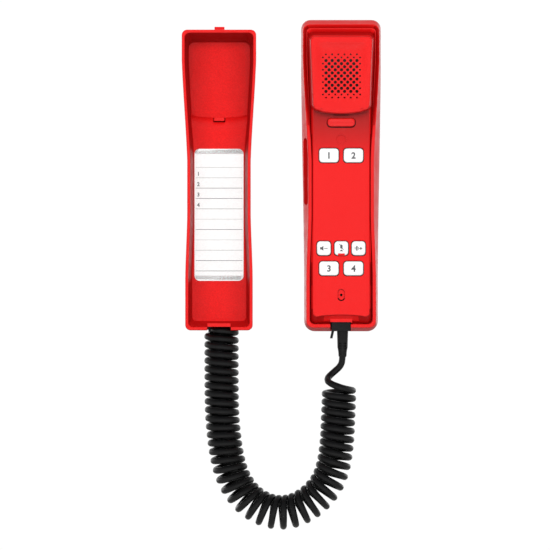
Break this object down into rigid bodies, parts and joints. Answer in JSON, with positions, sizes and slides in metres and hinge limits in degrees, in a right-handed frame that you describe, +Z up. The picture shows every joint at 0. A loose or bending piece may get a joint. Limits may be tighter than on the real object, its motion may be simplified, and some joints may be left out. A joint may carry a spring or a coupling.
{
  "type": "slimline wall phone",
  "caption": "Slim two-piece wall phone: a waisted red cradle with a card, and a red handset with white keys and an earpiece boss, joined by a black curly cord.",
  "frame": {"origin": "on the wall plane, midway between the wall bracket's two screw holes, at the cradle's mid-height", "axes": "+Z up along the cradle, +Y into the wall, -Y towards the user, +X towards the handset that hangs beside the cradle"},
  "size_m": [0.1317, 0.0407, 0.3372],
  "materials": {
    "red_plastic": "saturated red moulded plastic, semi-gloss",
    "dark_red_plastic": "dark red moulded plastic, satin",
    "white_plastic": "white moulded key caps, satin",
    "paper": "white card with printed grey rules",
    "clear_plastic": "clear polished sheet",
    "black_rubber": "black cord jacket, matte",
    "black_plastic": "black moulded plastic, matte",
    "black_mesh": "black acoustic mesh",
    "grey_silicone": "grey silicone rubber",
    "circuit_board": "green solder mask",
    "steel": "zinc-plated steel"
  },
  "bodies": {
    "cradle": {"cradle_shell": "red_plastic", "cradle_back_cover": "dark_red_plastic", "wall_bracket": "red_plastic", "back_cover_screws": "steel", "speed_dial_card": "paper", "card_cover": "clear_plastic", "handset_hook": "red_plastic", "cradle_board": "circuit_board", "ringer": "black_plastic", "line_jack": "black_plastic", "cradle_jack": "black_plastic", "cradle_plug": "black_plastic", "cord_coil": "black_rubber"},
    "handset": {"handset_back_shell": "red_plastic", "handset_front_cover": "red_plastic", "grip_inlay": "dark_red_plastic", "earpiece_mesh": "black_mesh", "earpiece_speaker": "black_plastic", "microphone": "steel", "microphone_boot": "black_rubber", "handset_board": "circuit_board", "board_screws": "steel", "keypad_membrane": "grey_silicone", "hook_microswitch": "black_plastic", "ballast_weight": "steel", "cover_screw": "steel", "screw_plug": "red_plastic", "handset_jack": "black_plastic", "cord_plug": "black_plastic", "cord_boot": "black_rubber", "cord_lead": "black_rubber"},
    "key_1": {"key_1": "white_plastic"},
    "key_2": {"key_2": "white_plastic"},
    "key_3": {"key_3": "white_plastic"},
    "key_4": {"key_4": "white_plastic"},
    "key_volume_down": {"key_volume_down": "white_plastic"},
    "key_mute": {"key_mute": "white_plastic"},
    "key_volume_up": {"key_volume_up": "white_plastic"},
    "hook_switch": {"hook_switch": "red_plastic"}
  },
  "joints": [
    {"name": "handset_dock", "type": "hinge", "parent": "cradle", "child": "handset", "pos_m": [0.04035, -0.03, 0], "axis": [0, 0, -1], "range_deg": [0, 180], "deforming": ["cord_coil"]},
    {"name": "key_1_press", "type": "slide", "parent": "handset", "child": "key_1", "axis": [0, 1, 0], "range_m": [0, 0.0012], "stiffness_N_per_m": 200},
    {"name": "key_2_press", "type": "slide", "parent": "handset", "child": "key_2", "axis": [0, 1, 0], "range_m": [0, 0.0012], "stiffness_N_per_m": 200},
    {"name": "key_3_press", "type": "slide", "parent": "handset", "child": "key_3", "axis": [0, 1, 0], "range_m": [0, 0.0012], "stiffness_N_per_m": 200},
    {"name": "key_4_press", "type": "slide", "parent": "handset", "child": "key_4", "axis": [0, 1, 0], "range_m": [0, 0.0012], "stiffness_N_per_m": 200},
    {"name": "key_volume_down_press", "type": "slide", "parent": "handset", "child": "key_volume_down", "axis": [0, 1, 0], "range_m": [0, 0.0012], "stiffness_N_per_m": 200},
    {"name": "key_mute_press", "type": "slide", "parent": "handset", "child": "key_mute", "axis": [0, 1, 0], "range_m": [0, 0.0012], "stiffness_N_per_m": 200},
    {"name": "key_volume_up_press", "type": "slide", "parent": "handset", "child": "key_volume_up", "axis": [0, 1, 0], "range_m": [0, 0.0012], "stiffness_N_per_m": 200},
    {"name": "hook_switch_press", "type": "slide", "parent": "handset", "child": "hook_switch", "axis": [0, 1, 0], "range_m": [0, 0.002], "stiffness_N_per_m": 120}
  ]
}
